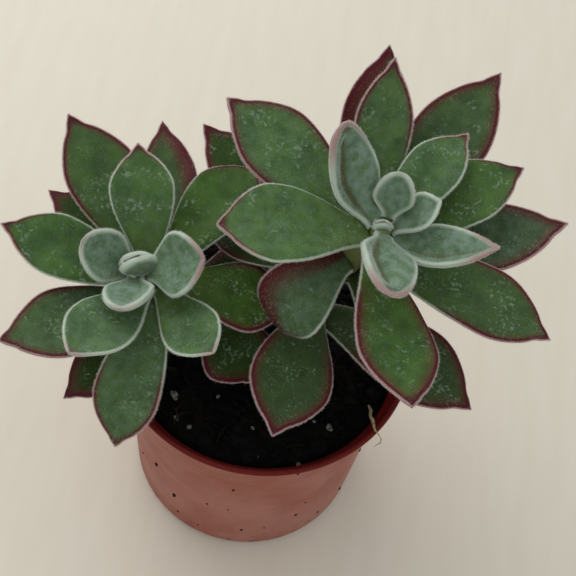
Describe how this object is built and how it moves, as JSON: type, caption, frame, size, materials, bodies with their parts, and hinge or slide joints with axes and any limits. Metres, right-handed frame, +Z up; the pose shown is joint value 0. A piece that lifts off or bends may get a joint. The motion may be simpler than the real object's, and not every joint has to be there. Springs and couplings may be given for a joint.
{
  "type": "potted echeveria",
  "caption": "Fuzzy-leaved echeveria in a round plastic nursery pot: leaning stems, each with a rosette of thick spoon-shaped leaves, planted in dark soil.",
  "frame": {"origin": "centre of the flat underside of the pot", "axes": "+Z up along the pot's axis; -Y is the side that faces the viewer, and the two rosettes lean out along -X and +X"},
  "size_m": [0.1449, 0.1045, 0.1506],
  "materials": {
    "pot_plastic": "terracotta-coloured thin plastic, satin, with a darker translucent lip",
    "soil": "damp dark peat with a few pale perlite grains",
    "stem_skin": "olive to brown, dull, with leaf scars",
    "young_leaf": "pale blue-green, frosted with fine down, with whitish rims",
    "grown_leaf": "dark green, velvety with fine pale hairs, with a dark red margin and point"
  },
  "bodies": {
    "root": {"pot": "pot_plastic", "soil": "soil", "left_stem": "stem_skin", "left_bud": "young_leaf", "left_leaf_01": "young_leaf", "left_leaf_02": "young_leaf", "left_leaf_03": "young_leaf", "left_leaf_04": "young_leaf", "left_leaf_05": "young_leaf", "left_leaf_06": "grown_leaf", "left_leaf_07": "grown_leaf", "left_leaf_08": "grown_leaf", "left_leaf_09": "grown_leaf", "left_leaf_10": "grown_leaf", "left_leaf_11": "grown_leaf", "left_leaf_12": "grown_leaf", "left_leaf_13": "grown_leaf", "left_leaf_14": "grown_leaf", "left_leaf_15": "grown_leaf", "left_leaf_16": "grown_leaf", "left_leaf_17": "grown_leaf", "right_stem": "stem_skin", "right_bud": "young_leaf", "right_leaf_01": "young_leaf", "right_leaf_02": "young_leaf", "right_leaf_03": "young_leaf", "right_leaf_04": "young_leaf", "right_leaf_05": "young_leaf", "right_leaf_06": "grown_leaf", "right_leaf_07": "grown_leaf", "right_leaf_08": "grown_leaf", "right_leaf_09": "grown_leaf", "right_leaf_10": "grown_leaf", "right_leaf_11": "grown_leaf", "right_leaf_12": "grown_leaf", "right_leaf_13": "grown_leaf", "right_leaf_14": "grown_leaf", "right_leaf_15": "grown_leaf", "right_leaf_16": "grown_leaf", "right_leaf_17": "grown_leaf", "right_leaf_18": "grown_leaf", "right_leaf_19": "grown_leaf", "right_leaf_20": "grown_leaf", "right_leaf_21": "grown_leaf"}
  },
  "joints": []
}
